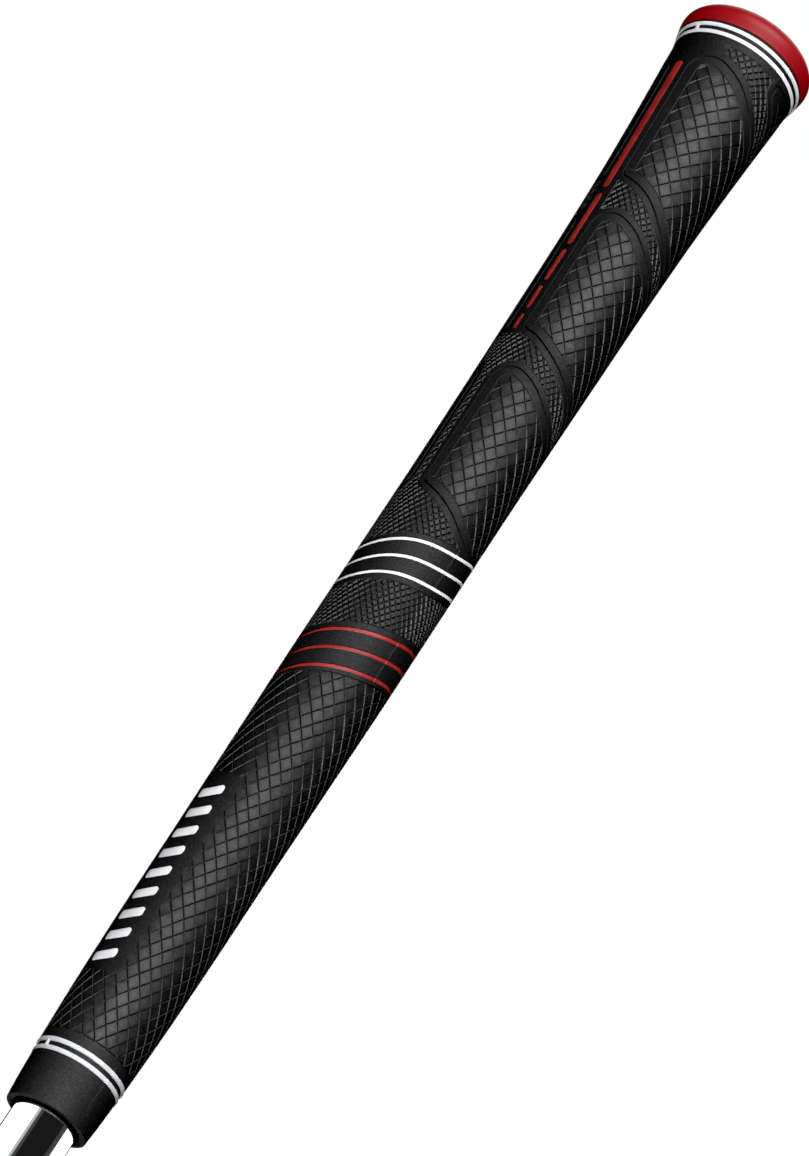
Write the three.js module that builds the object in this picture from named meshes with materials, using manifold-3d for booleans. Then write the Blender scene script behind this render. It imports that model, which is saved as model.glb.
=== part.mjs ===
// A slip-on golf grip with its red butt cap, filled rings and bars, grip tape and the butt
// section of the shaft it is mounted on.
// Millimetres, +Z along the shaft towards the butt cap. The origin is the centre of the
// shaft's cut end, but every height z below is measured from the mouth of the grip.
// Angles are in degrees round the axis: 0 is the front, facing -Y, and 90 faces +X.
import * as THREE from "three";
import Module from "manifold-3d";

const wasm = await Module();
wasm.setup();
const { Manifold, Mesh } = wasm;

// ---- overall sizes ----
const SHAFT_STUB = 30; // length of shaft left standing out of the mouth
const GRIP_LENGTH = 270; // mouth lip to the top of the butt cap
const FACETS = 36; // facets round the axis

// Outside of the sleeve: [height, radius].
const SLEEVE_OUTSIDE = [
  [0, 7.95], [0.4, 8.3], [9.0, 8.85], [12.6, 9.07], [19, 9.33], [27, 9.55],
  [41.7, 9.76], [83.4, 10.09], [104.3, 10.28], [146, 10.31], [166.9, 10.47], [208.6, 11.0],
  [224.2, 11.41], [234.7, 11.86], [245.1, 12.41], [260.7, 13.37], [263.55, 14.08],
];
const SLEEVE_TOP = SLEEVE_OUTSIDE.at(-1)[0];

// Outside of the shaft: straight up to the taper, then widening to the butt size.
const SHAFT_LOW_RADIUS = 6.4;
const SHAFT_BUTT_RADIUS = 7.3;
const TAPER_FROM = 15;
const TAPER_TO = 190;
const SHAFT_TOP = 258.8;
const SHAFT_OUTSIDE = [
  [-SHAFT_STUB, SHAFT_LOW_RADIUS], [TAPER_FROM, SHAFT_LOW_RADIUS],
  [TAPER_TO, SHAFT_BUTT_RADIUS], [SHAFT_TOP, SHAFT_BUTT_RADIUS],
]; // [height, radius]

// Counterbore in the top of the sleeve that takes the cap's spigot.
const SOCKET_RADIUS = 9.3;
const SOCKET_FROM = 259.3;

// ---- materials ----
const WHITE = 0xe4e4e6;
const material = (settings) => new THREE.MeshStandardMaterial(settings);
const MATERIALS = {
  red: material({ color: 0x9c1a22, roughness: 0.45 }),
  smoothWhite: material({ color: WHITE, roughness: 0.4 }),
  dullWhite: material({ color: WHITE, roughness: 0.45 }),
  rubber: material({ color: 0x1c1c1d, roughness: 0.75 }),
  tape: material({ color: 0xc8b890, roughness: 0.8 }),
  steel: material({ color: 0xc9ccd0, roughness: 0.15, metalness: 1 }),
};

// ---- measuring helpers ----
const radians = (degrees) => (degrees * Math.PI) / 180;
// Degrees taken up by a length laid round a circle.
const arcDegrees = (length, radius) => ((length / radius) * 180) / Math.PI;

// Radius at a height, read off a table of [height, radius] by straight lines.
function radiusAt(table, z) {
  if (z <= table[0][0]) return table[0][1];
  for (let i = 1; i < table.length; i++) {
    const [lowZ, lowRadius] = table[i - 1];
    const [highZ, highRadius] = table[i];
    if (z <= highZ) {
      return lowRadius + ((highRadius - lowRadius) * (z - lowZ)) / (highZ - lowZ);
    }
  }
  return table.at(-1)[1];
}
const sleeveRadius = (z) => radiusAt(SLEEVE_OUTSIDE, z);
const shaftRadius = (z) => radiusAt(SHAFT_OUTSIDE, z);

// ---- geometry helpers ----
// Model coordinates of a place given by angle, radius and height above the mouth.
function pointAt(angle, radius, z) {
  const turn = radians(angle - 90);
  return [radius * Math.cos(turn), radius * Math.sin(turn), z + SHAFT_STUB];
}

function geometryOf(points, index) {
  const geometry = new THREE.BufferGeometry();
  geometry.setAttribute("position", new THREE.Float32BufferAttribute(points, 3));
  geometry.setIndex(index);
  return geometry;
}

// A closed ring. sectionAt(angle) gives its section there, a loop of [radius, z] run
// anticlockwise.
function ringGeometry(sectionAt) {
  const points = [];
  const index = [];
  const count = sectionAt(0).length;
  for (let j = 0; j < FACETS; j++) {
    const angle = 90 + (360 * j) / FACETS;
    for (const [radius, z] of sectionAt(angle)) points.push(...pointAt(angle, radius, z));
  }
  for (let j = 0; j < FACETS; j++) {
    const here = j * count;
    const next = ((j + 1) % FACETS) * count;
    for (let i = 0; i < count; i++) {
      const after = (i + 1) % count;
      index.push(here + i, next + i, next + after);
      index.push(here + i, next + after, here + after);
    }
  }
  return geometryOf(points, index);
}

// A closed slab that follows the sleeve, from fit.depth below its surface to fit.proud above.
// placeAt(across, up) gives [angle, z] for fractions from 0 to 1.
function slabGeometry(placeAt, fit, columns, rows) {
  const points = [];
  const index = [];
  for (const offset of [fit.proud, -fit.depth]) {
    for (let j = 0; j <= rows; j++) {
      for (let i = 0; i <= columns; i++) {
        const [angle, z] = placeAt(i / columns, j / rows);
        points.push(...pointAt(angle, sleeveRadius(z) + offset, z));
      }
    }
  }
  const outer = (i, j) => j * (columns + 1) + i;
  const inner = (i, j) => (columns + 1) * (rows + 1) + outer(i, j);
  const quad = (a, b, c, d) => index.push(a, b, c, a, c, d);
  for (let j = 0; j < rows; j++) {
    for (let i = 0; i < columns; i++) {
      quad(outer(i, j), outer(i + 1, j), outer(i + 1, j + 1), outer(i, j + 1));
      quad(inner(i, j), inner(i, j + 1), inner(i + 1, j + 1), inner(i + 1, j));
    }
  }
  // low and high edges
  for (let i = 0; i < columns; i++) {
    quad(outer(i, 0), inner(i, 0), inner(i + 1, 0), outer(i + 1, 0));
    quad(outer(i, rows), outer(i + 1, rows), inner(i + 1, rows), inner(i, rows));
  }
  // side edges
  for (let j = 0; j < rows; j++) {
    quad(outer(0, j), outer(0, j + 1), inner(0, j + 1), inner(0, j));
    quad(outer(columns, j), inner(columns, j), inner(columns, j + 1), outer(columns, j + 1));
  }
  return geometryOf(points, index);
}

function solidFrom(geometry) {
  const vertProperties = geometry.attributes.position.array;
  const triVerts = new Uint32Array(geometry.index.array);
  return new Manifold(new Mesh({ numProp: 3, vertProperties, triVerts }));
}

function geometryFrom(solid) {
  const { vertProperties, triVerts } = solid.getMesh();
  return geometryOf(vertProperties, Array.from(triVerts));
}

const group = new THREE.Group();
group.name = "golf_grip";

// Adds a flat-shaded mesh to the group.
function add(name, geometry, meshMaterial) {
  const flat = geometry.toNonIndexed();
  flat.computeVertexNormals();
  const mesh = new THREE.Mesh(flat, meshMaterial);
  mesh.name = name;
  group.add(mesh);
}

// ---- filled marks, each with the pocket that holds it ----
// A fit says how far a shape is grown all round, how deep it goes below the sleeve's surface
// and how far it stands above it. A pocket stands well clear so that it cuts cleanly.
const POCKET = { grow: 0.06, depth: 0.8, proud: 1 };
const fillFit = (proud) => ({ grow: 0, depth: 0.7, proud });
const pockets = [];

// build(fit) returns the geometry of the mark or of its pocket.
function addMark(name, build, proud, meshMaterial) {
  add(name, build(fillFit(proud)), meshMaterial);
  pockets.push(solidFrom(build(POCKET)));
}

// Section of a ring that lies in the sleeve's surface between two heights.
function bandSection(from, to, { grow, depth, proud }) {
  const low = from - grow;
  const high = to + grow;
  return [
    [sleeveRadius(low) - depth, low], [sleeveRadius(low) + proud, low],
    [sleeveRadius(high) + proud, high], [sleeveRadius(high) - depth, high],
  ];
}

// Double rings: two level rings, each [from, to], joined by a short bridge.
const DOUBLE_RINGS = [
  { name: "bottom_double_ring", low: [9.45, 10.4], high: [11.24, 12.2], bridgeWidth: 0.85 },
  { name: "top_double_ring", low: [260.77, 261.66], high: [262.43, 263.22], bridgeWidth: 1.05 },
];
const BRIDGE_ANGLE = -57;
const BRIDGE_OVERLAP = 0.3; // how far the bridge runs into each ring
const DOUBLE_RING_PROUD = 0.04;
const BRIDGE_PROUD = 0.02;

const levelRing = ([from, to], fit) => solidFrom(ringGeometry(() => bandSection(from, to, fit)));

function bridge({ low, high, bridgeWidth }, fit) {
  const from = low[1] - BRIDGE_OVERLAP;
  const to = high[0] + BRIDGE_OVERLAP;
  const halfAngle = arcDegrees(bridgeWidth / 2 + fit.grow, sleeveRadius((from + to) / 2));
  const placeAt = (across, up) => [
    BRIDGE_ANGLE + (2 * across - 1) * halfAngle,
    from + up * (to - from),
  ];
  return solidFrom(slabGeometry(placeAt, fit, 2, 1));
}

function doubleRing(ring, ringFit, bridgeFit) {
  return levelRing(ring.low, ringFit)
    .add(levelRing(ring.high, ringFit))
    .add(bridge(ring, bridgeFit));
}

for (const ring of DOUBLE_RINGS) {
  const filling = doubleRing(ring, fillFit(DOUBLE_RING_PROUD), fillFit(BRIDGE_PROUD));
  add(ring.name, geometryFrom(filling), MATERIALS.smoothWhite);
  pockets.push(doubleRing(ring, POCKET, POCKET));
}

// Slanted rings round the middle, which climb one side of the grip and come down the other.
// Their height is a wave of one cycle per turn plus a small one of three cycles, each with
// its amplitude and the angle it starts from.
const SLANTED_RINGS = [
  {
    name: "mid_white_ring_", middles: [132.7, 128.6, 124.5], halfHeight: 0.36,
    wave: 4.48, waveStart: 6.9, ripple: -0.57, rippleStart: 11.7,
    proud: 0.04, material: MATERIALS.dullWhite,
  },
  {
    name: "mid_red_ring_", middles: [110.05, 105.65, 101.3], halfHeight: 0.44,
    wave: 4.57, waveStart: -2.9, ripple: -0.31, rippleStart: -1.7,
    proud: -0.08, material: MATERIALS.red,
  },
];

function slantedRing(rings, middle, fit) {
  return ringGeometry((angle) => {
    const z = middle
      + rings.wave * Math.sin(radians(angle - rings.waveStart))
      + rings.ripple * Math.sin(3 * radians(angle - rings.rippleStart));
    return bandSection(z - rings.halfHeight, z + rings.halfHeight, fit);
  });
}

for (const rings of SLANTED_RINGS) {
  rings.middles.forEach((middle, i) => {
    const build = (fit) => slantedRing(rings, middle, fit);
    addMark(rings.name + (i + 1), build, rings.proud, rings.material);
  });
}

// Round-ended bars in line along the grip: [from, to, width at low end, width at high end].
const BAR_ANGLE = -54.5;
const BARS = [
  [220.1, 253.35, 1.7, 2.1],
  [205.15, 218.65, 1.5, 1.62],
  [195.7, 203.9, 1.36, 1.42],
  [188.4, 194.4, 1.2, 1.26],
  [183.15, 187.05, 1.02, 1.06],
];
const BAR_ROWS = 14;
const BAR_END_ROWS = 5; // rows in each round end
const BAR_TIP = 0.12; // least width of a round end, as a share of the full width
const BAR_PROUD = 0.03;

function alignmentBar([from, to, lowWidth, highWidth], fit) {
  const low = from - fit.grow;
  const high = to + fit.grow;
  const endLength = lowWidth / 2 + fit.grow;

  // Rows bunch up towards the tips of the round ends.
  const fromTip = (row) => endLength * (1 - Math.cos(radians((90 * row) / BAR_END_ROWS)));
  function rowHeight(row) {
    if (row <= BAR_END_ROWS) return low + fromTip(row);
    if (row >= BAR_ROWS - BAR_END_ROWS) return high - fromTip(BAR_ROWS - row);
    const share = (row - BAR_END_ROWS) / (BAR_ROWS - 2 * BAR_END_ROWS);
    return low + endLength + (high - low - 2 * endLength) * share;
  }
  function halfWidth(z) {
    const width = lowWidth + ((highWidth - lowWidth) * (z - low)) / (high - low);
    const full = width / 2 + fit.grow;
    const tipDistance = Math.min(z - low, high - z);
    if (tipDistance >= endLength) return full;
    const inward = (endLength - tipDistance) / endLength;
    return full * Math.max(Math.sqrt(Math.max(0, 1 - inward ** 2)), BAR_TIP);
  }
  const placeAt = (across, up) => {
    const z = rowHeight(Math.round(up * BAR_ROWS));
    return [BAR_ANGLE + (2 * across - 1) * arcDegrees(halfWidth(z), sleeveRadius(z)), z];
  };
  return slabGeometry(placeAt, fit, 2, BAR_ROWS);
}

BARS.forEach((bar, i) => {
  const build = (fit) => alignmentBar(bar, fit);
  addMark("alignment_bar_" + (i + 1), build, BAR_PROUD, MATERIALS.red);
});

// Row of slanted white marks on the smooth panel, in line with the bars.
const MARK_COUNT = 9;
const MARKS_FROM = 29.4;
const MARKS_TO = 69.4;
const MARK_HEIGHT = 2.15;
const MARK_SPAN = 34; // degrees
const MARK_SLANT = 1.5; // rise from one side to the other
const MARK_PROUD = 0.04;
const MARK_PITCH = (MARKS_TO - MARKS_FROM - MARK_HEIGHT) / (MARK_COUNT - 1);

function panelMark(middle, fit) {
  const span = MARK_SPAN + arcDegrees(2 * fit.grow, sleeveRadius(middle));
  const height = MARK_HEIGHT + 2 * fit.grow;
  const placeAt = (across, up) => [
    BAR_ANGLE + (across - 0.5) * span,
    middle + (up - 0.5) * height + (across - 0.5) * MARK_SLANT,
  ];
  return slabGeometry(placeAt, fit, 6, 1);
}

for (let i = 0; i < MARK_COUNT; i++) {
  const middle = MARKS_FROM + MARK_HEIGHT / 2 + MARK_PITCH * i;
  const build = (fit) => panelMark(middle, fit);
  addMark("panel_mark_" + (i + 1), build, MARK_PROUD, MATERIALS.smoothWhite);
}

// ---- sleeve ----
const BORE_CLEARANCE = 0.35; // sleeve bore radius over shaft radius
const MOUTH_BEVEL_WIDTH = 0.3;
const MOUTH_BEVEL_HEIGHT = 0.4;

function gripSleeve() {
  const boreAt = (z) => [shaftRadius(z) + BORE_CLEARANCE, z];
  const section = [
    ...SLEEVE_OUTSIDE.map(([z, radius]) => [radius, z]),
    [SOCKET_RADIUS, SLEEVE_TOP],
    [SOCKET_RADIUS, SOCKET_FROM],
    ...[SOCKET_FROM, TAPER_TO, TAPER_FROM, MOUTH_BEVEL_HEIGHT].map(boreAt),
    [shaftRadius(0) + BORE_CLEARANCE + MOUTH_BEVEL_WIDTH, 0],
  ];
  let sleeve = solidFrom(ringGeometry(() => section));
  for (const pocket of pockets) sleeve = sleeve.subtract(pocket);
  return geometryFrom(sleeve);
}
add("grip_sleeve", gripSleeve(), MATERIALS.rubber);

// ---- butt cap: spigot, flared rim, rounded shoulder, flat top with a vent hole ----
const CAP_FROM = SLEEVE_TOP + 0.2; // a narrow seam above the sleeve
const CAP_LOW_RADIUS = 14.12;
const CAP_WIDEST_RADIUS = 14.45;
const CAP_WIDEST_Z = 266.1;
const CAP_FLAT_RADIUS = 9.4;
const SPIGOT_RADIUS = SOCKET_RADIUS - 0.3;
const SPIGOT_FROM = SOCKET_FROM + 0.35;
const VENT_RADIUS = 1.25;
const VENT_BEVEL = 0.35;
const FLARE_STEPS = 3;
const SHOULDER_STEPS = 6;

function buttCap() {
  const section = [
    [SPIGOT_RADIUS, SPIGOT_FROM], [SPIGOT_RADIUS, CAP_FROM], [CAP_LOW_RADIUS, CAP_FROM],
  ];
  for (let i = 1; i <= FLARE_STEPS; i++) {
    const turn = radians((90 * i) / FLARE_STEPS);
    section.push([
      CAP_LOW_RADIUS + (CAP_WIDEST_RADIUS - CAP_LOW_RADIUS) * Math.sin(turn),
      CAP_FROM + (CAP_WIDEST_Z - CAP_FROM) * (1 - Math.cos(turn)),
    ]);
  }
  for (let i = 1; i <= SHOULDER_STEPS; i++) {
    const turn = radians((90 * i) / SHOULDER_STEPS);
    section.push([
      CAP_FLAT_RADIUS + (CAP_WIDEST_RADIUS - CAP_FLAT_RADIUS) * Math.cos(turn),
      CAP_WIDEST_Z + (GRIP_LENGTH - CAP_WIDEST_Z) * Math.sin(turn),
    ]);
  }
  section.push(
    [VENT_RADIUS + VENT_BEVEL, GRIP_LENGTH],
    [VENT_RADIUS, GRIP_LENGTH - VENT_BEVEL],
    [VENT_RADIUS, SPIGOT_FROM],
  );
  return ringGeometry(() => section);
}
add("butt_cap", buttCap(), MATERIALS.red);

// ---- tape and shaft ----
const SHAFT_WALL = 0.6;
const TAPE_FROM = 6;
const TAPE_TO = 257.5;
const TAPE_GAP = 0.06; // between shaft and tape
const TAPE_THICKNESS = 0.2;

// A tube that follows the taper, its two faces offset from the shaft's outside.
function taperedTube(from, to, outerOffset, innerOffset) {
  const heights = [from, TAPER_FROM, TAPER_TO, to];
  const section = [
    ...heights.map((z) => [shaftRadius(z) + outerOffset, z]),
    ...heights.toReversed().map((z) => [shaftRadius(z) + innerOffset, z]),
  ];
  return ringGeometry(() => section);
}
const tape = taperedTube(TAPE_FROM, TAPE_TO, TAPE_GAP + TAPE_THICKNESS, TAPE_GAP);
add("grip_tape", tape, MATERIALS.tape);
add("shaft_tube", taperedTube(-SHAFT_STUB, SHAFT_TOP, 0, -SHAFT_WALL), MATERIALS.steel);

export default group;
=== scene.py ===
# A slip-on golf grip on a cut shaft end. It stands upright along Z with the mouth and shaft
# down and the butt cap up. Angles are in degrees from the front (-Y) towards +X.
import math
import random
from collections import namedtuple
from itertools import product

import bpy
import numpy as np
from mathutils import Matrix, Vector
from mathutils.geometry import delaunay_2d_cdt
from mathutils.kdtree import KDTree


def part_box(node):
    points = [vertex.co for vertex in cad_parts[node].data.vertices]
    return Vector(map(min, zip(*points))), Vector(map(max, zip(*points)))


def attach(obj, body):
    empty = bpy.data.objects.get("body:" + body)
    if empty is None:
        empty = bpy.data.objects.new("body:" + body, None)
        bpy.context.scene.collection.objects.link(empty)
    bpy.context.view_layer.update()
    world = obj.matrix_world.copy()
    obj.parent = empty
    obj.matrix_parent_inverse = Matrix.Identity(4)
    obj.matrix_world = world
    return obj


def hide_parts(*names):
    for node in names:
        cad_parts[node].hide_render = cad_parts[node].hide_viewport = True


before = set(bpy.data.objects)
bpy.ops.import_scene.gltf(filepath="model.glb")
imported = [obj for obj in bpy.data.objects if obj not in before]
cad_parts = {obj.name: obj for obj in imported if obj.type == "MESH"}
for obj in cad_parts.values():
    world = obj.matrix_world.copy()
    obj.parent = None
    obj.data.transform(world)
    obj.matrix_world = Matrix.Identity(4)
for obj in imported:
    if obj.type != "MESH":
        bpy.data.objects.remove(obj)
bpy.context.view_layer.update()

random.seed(7)  # fixes the state of Python's random numbers

# ------------------------------------------------------------------ sizes (mm)
# Heights are counted up from the mouth, unless said otherwise.
MM = 0.001
SLEEVE_LOW, SLEEVE_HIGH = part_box("grip_sleeve")
MOUTH = SLEEVE_LOW.z  # metres: the mouth's height in the frame
SLEEVE_TOP = (SLEEVE_HIGH.z - MOUTH) / MM
CAP_LOW, CAP_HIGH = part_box("butt_cap")
CAP_R = (CAP_HIGH.x - CAP_LOW.x) / 2 / MM
GRIP_LENGTH = (CAP_HIGH.z - MOUTH) / MM
SHAFT_TOP = (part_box("shaft_tube")[1].z - MOUTH) / MM
TAPE_LOW, TAPE_HIGH = ((corner.z - MOUTH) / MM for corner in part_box("grip_tape"))

# The shaft tapers between two straight stretches.
SHAFT_END = -30.0
SHAFT_THIN_R, SHAFT_THICK_R = 6.4, 7.3
TAPER_FROM, TAPER_TO = 15, 190
SHAFT_WALL = 0.6
BORE_CLEARANCE = 0.35

# The pattern is laid out flat: x is mm round the grip at LAYOUT_R, z is height.
LAYOUT_R = 10.43
ROUND = 2 * math.pi * LAYOUT_R
PLANE = -54.5  # degrees: mirror plane of the pads, through the bars and the smooth panel
CUT = PLANE - 180  # degrees: where the layout starts, opposite the plane
SEAMS = (36.5, 36.5 - 180)  # degrees: mould parting lines
SEAM_HALF, SEAM_RISE = 0.13, 0.07
TICK_HALF = 0.14  # half width of a parting line where it runs over a fill

# Outside of the sleeve: height, radius
OUTSIDE = np.array([
    (0.45, 8.30), (4.2, 8.60), (9.0, 8.85), (12.75, 9.08), (15.6, 9.20),
    (20.9, 9.39), (26.1, 9.53), (41.7, 9.76), (62.6, 9.88), (83.4, 10.09),
    (104.3, 10.28), (125.2, 10.295), (146, 10.31), (166.9, 10.47), (187.7, 10.72),
    (208.6, 11.0), (216, 11.17), (224.2, 11.41), (234.7, 11.86), (245.1, 12.41),
    (250.3, 12.72), (255.5, 13.04), (260.7, 13.37), (262.3, 13.74), (263.55, 14.07),
])
LIP = OUTSIDE[0, 0]  # height where the outside ends at the mouth

# Level double rings: (low, high) of each ring. A bridge joins the two.
TOP_RINGS = ((260.77, 261.66), (262.43, 263.22))
BOTTOM_RINGS = ((9.45, 10.40), (11.24, 12.20))
BRIDGE = -57.0  # degrees
TOP_BRIDGE_WIDTH, BOTTOM_BRIDGE_WIDTH = 1.05, 0.85
# Bands between the rings: low, high, bridge width, how far the band is sunk
BANDS = (
    (TOP_RINGS[0][1], TOP_RINGS[1][0], TOP_BRIDGE_WIDTH, 0.14),
    (BOTTOM_RINGS[0][1], BOTTOM_RINGS[1][0], BOTTOM_BRIDGE_WIDTH, 0.16),
)


def slanted_ring(z, sway, sway_phase, ripple, ripple_phase):
    """Height of a ring at an angle: one wave and a smaller threefold one round the grip."""
    return lambda phi: (
        z + sway * np.sin(np.radians(phi - sway_phase))
        + ripple * np.sin(3 * np.radians(phi - ripple_phase)))


# Slanted rings, from the top down
WHITE_RINGS = [slanted_ring(z, sway=4.48, sway_phase=6.9, ripple=-0.57, ripple_phase=11.7)
               for z in (132.7, 128.6, 124.5)]
RED_RINGS = [slanted_ring(z, sway=4.57, sway_phase=-2.9, ripple=-0.31, ripple_phase=-1.7)
             for z in (110.05, 105.65, 101.3)]
WHITE_HALF, RED_HALF = 0.36, 0.44  # half heights of the channels

# Bars: low, high, width at the low end, width at the high end
BARS = (
    (220.1, 253.35, 1.7, 2.1), (205.15, 218.65, 1.5, 1.62), (195.7, 203.9, 1.36, 1.42),
    (188.4, 194.4, 1.2, 1.26), (183.15, 187.05, 1.02, 1.06),
)
BAR_ROUNDING = 0.97  # corner radius as a share of half the width

# Smooth panel and the marks on it
PANEL_LOW, PANEL_HIGH = 27.118, 72.8014
PANEL_HALF = 30  # degrees
PANEL_CORNER = 1.6
MARKS, MARK_FROM, MARK_TO = 9, 29.4, 69.4
MARK_TALL, MARK_SLANT, MARK_CORNER = 2.15, 1.5, 0.75
MARK_WIDE = 34.0  # degrees

# Channels and pockets that hold the fills
POCKET_DEPTH, POCKET_WALL = 0.5, 0.04
FILL_BACK = 0.44  # depth of a fill's back
FILL_GAP = 0.015  # between a fill's edge and its channel
FILL_STEPS = (0, 0.05, 0.12)  # insets of the rows that shape a fill's rounded edge

# Hatch: two families of straight lines in the layout. The fine hatch has twice the lines.
HATCH_ROUND = 23  # lines round the grip
HATCH_PER_MM = 0.261744966442953  # lines per mm of height
HATCH_PHASE = (-0.45, -0.12)
LINES_PER_MM = math.hypot(HATCH_PER_MM, HATCH_ROUND / ROUND)  # square across coarse lines
# Hatch region, share of the coarse line count, groove half width, groove depth
HATCHES = (("coarse", 1, 0.15, 0.165), ("fine", 2, 0.19, 0.21))
HATCH_RAMP = 0.12  # the grooves fade out over this at a region's edge
COARSE_BORDER, FINE_BORDER = 0.15, 0.12  # depths of the border grooves

# Where the hatch runs
HATCH_INSET = 1.9  # coarse hatch, inside a pad's outline
PAD_CLEAR = 1.4  # fine hatch, outside a pad's outline
COARSE_OVER_WHITE, FINE_OVER_WHITE = 1.55, 1.6  # above the middle of the top white ring
COARSE_UNDER_RED = 1.42  # below the middle of the lowest red ring
FINE_TO_RINGS = 1.75  # between the white and the red rings
COARSE_FROM, FINE_TO = 14.34125, 259.1855
BAR_STRIP, BAR_STRIP_FROM = math.radians(12.2) * LAYOUT_R, 182.0035  # no hatch by the bars
CROWN_STRIP, CROWN_FROM = math.radians(37.3) * LAYOUT_R, 253.449  # nor over the top one

# Outline groove of the pads, with a fine raised edge on both sides
OUTLINE_HALF, OUTLINE_DEPTH = 0.18, 0.42
EDGE_HALF, EDGE_RISE = 0.1, 0.06


# ------------------------------------------------------------------ curves and the layout
def hermite(x, y, slopes):
    """Cubic through the points (x, y) with the given slopes, as a function of x."""
    widths = np.diff(x)

    def at(value):
        value = np.clip(np.asarray(value, float), x[0], x[-1])
        i = np.clip(np.searchsorted(x, value, side="right") - 1, 0, len(widths) - 1)
        t = (value - x[i]) / widths[i]
        return (
            (2 * t**3 - 3 * t**2 + 1) * y[i] + (t**3 - 2 * t**2 + t) * widths[i] * slopes[i]
            + (-2 * t**3 + 3 * t**2) * y[i + 1] + (t**3 - t**2) * widths[i] * slopes[i + 1]
        )

    return at


def monotone_slopes(x, y):
    """Slopes that keep the cubic from overshooting its points."""
    rates = np.diff(y) / np.diff(x)
    slopes = np.r_[rates[0], (rates[:-1] + rates[1:]) / 2, rates[-1]]
    for i, rate in enumerate(rates):
        start, end = slopes[i] / rate, slopes[i + 1] / rate
        size = start * start + end * end
        if size > 9:
            slopes[i] = 3 * start / math.sqrt(size) * rate
            slopes[i + 1] = 3 * end / math.sqrt(size) * rate
    return slopes


outer_radius = hermite(*OUTSIDE.T, monotone_slopes(*OUTSIDE.T))


def shaft_radius(z):
    return np.interp(z, [TAPER_FROM, TAPER_TO], [SHAFT_THIN_R, SHAFT_THICK_R])


def layout_x(phi):
    return np.radians(np.asarray(phi, float) - CUT) * LAYOUT_R


def angle_at(x):
    return np.degrees(np.asarray(x, float) / LAYOUT_R) + CUT


def arc_from(phi, centre):
    """Distance round the grip from an angle, in layout mm."""
    return np.abs((phi - centre + 180) % 360 - 180) * math.pi / 180 * LAYOUT_R


def frame_points(x, radius, z):
    """Layout x, radius and height as frame positions in metres."""
    angle = np.radians(angle_at(x) - 90)
    return np.c_[radius * np.cos(angle) * MM, radius * np.sin(angle) * MM, MOUTH + z * MM]


PLANE_X = float(layout_x(PLANE))
BRIDGE_X = float(layout_x(BRIDGE))
SEAM_XS = [float(layout_x(seam)) % ROUND for seam in SEAMS]


# ------------------------------------------------------------------ pattern outlines
def short_turn(start, end):
    return (end - start + math.pi) % (2 * math.pi) - math.pi


def rounded(points, radii):
    """A closed outline in (x, z) with each corner rounded."""
    outline, count = [], len(points)
    points = [np.array(point, float) for point in points]
    for i, radius in enumerate(radii):
        before, corner, after = points[i - 1], points[i], points[(i + 1) % count]
        back, ahead = before - corner, after - corner
        back_length, ahead_length = np.linalg.norm(back), np.linalg.norm(ahead)
        back, ahead = back / back_length, ahead / ahead_length
        half = math.acos(max(-1, min(1, float(back @ ahead)))) / 2
        cut = min(radius / math.tan(half), 0.48 * back_length, 0.48 * ahead_length)
        radius = cut * math.tan(half)
        inward = (back + ahead) / np.linalg.norm(back + ahead)
        centre = corner + inward * (radius / math.sin(half))
        first, last = corner + back * cut - centre, corner + ahead * cut - centre
        start = math.atan2(first[1], first[0])
        turn = short_turn(start, math.atan2(last[1], last[0]))
        steps = max(4, int(abs(turn) * radius / 0.35))
        for k in range(steps + 1):
            angle = start + turn * k / steps
            outline.append(centre + radius * np.array([math.cos(angle), math.sin(angle)]))
    return np.array(outline)


def inset_loop(loop, inset):
    """An anticlockwise outline moved inwards."""
    along = np.roll(loop, -1, 0) - np.roll(loop, 1, 0)
    normal = np.c_[-along[:, 1], along[:, 0]] / np.linalg.norm(along, axis=1)[:, None]
    return loop + normal * inset


def smooth_path(stations, step=6.0):
    """(angle, height) stations joined by a smooth curve, as layout points."""
    phis, heights = np.array(stations, float).T
    curve = hermite(phis, heights, np.gradient(heights, phis))
    dense = np.linspace(phis[0], phis[-1], int((phis[-1] - phis[0]) / step) + 1)
    return np.c_[layout_x(dense), curve(dense)]


def fillet(side, path, radius, below):
    """Rounds the corner between the upright side x = side and a path that starts on it.
    Gives the arc from the side to the path, and the rest of the path.
    below: the pad lies under the path."""
    count = 1200
    fine_z = np.interp(np.linspace(0, 1, count), np.linspace(0, 1, len(path)), path[:, 1])
    fine = np.c_[np.linspace(path[0, 0], path[-1, 0], count), fine_z]
    way = 1 if path[-1, 0] > path[0, 0] else -1
    x, down = side + way * radius, -1 if below else 1
    path_z = fine[np.argmin(np.abs(fine[:, 0] - x)), 1]
    low, high = 0.0, 3 * radius + 3
    for _ in range(50):  # slide the centre away from the path until it is a radius from it
        middle = (low + high) / 2
        z = path_z + down * middle
        if np.sqrt(((fine - (x, z)) ** 2).sum(1)).min() < radius:
            low = middle
        else:
            high = middle
    z = path_z + down * high
    touch = fine[np.argmin(((fine - (x, z)) ** 2).sum(1))]
    start = math.atan2(0, side - x)
    turn = short_turn(start, math.atan2(touch[1] - z, touch[0] - x))
    steps = max(5, int(abs(turn) * radius / 0.3))
    angles = [start + turn * i / steps for i in range(steps + 1)]
    arc_points = [(x + radius * math.cos(a), z + radius * math.sin(a)) for a in angles]
    rest = path[(path[:, 0] - touch[0]) * way > 0.25]
    return np.array(arc_points), rest


def pad_edge(path, radii, below):
    """A pad's upper or lower edge with the corners at its start and end rounded."""
    first, rest = fillet(path[0, 0], path, radii[0], below)
    last, rest = fillet(path[-1, 0], rest[::-1], radii[1], below)
    return [*first, *rest[::-1], *last[::-1]]


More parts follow.
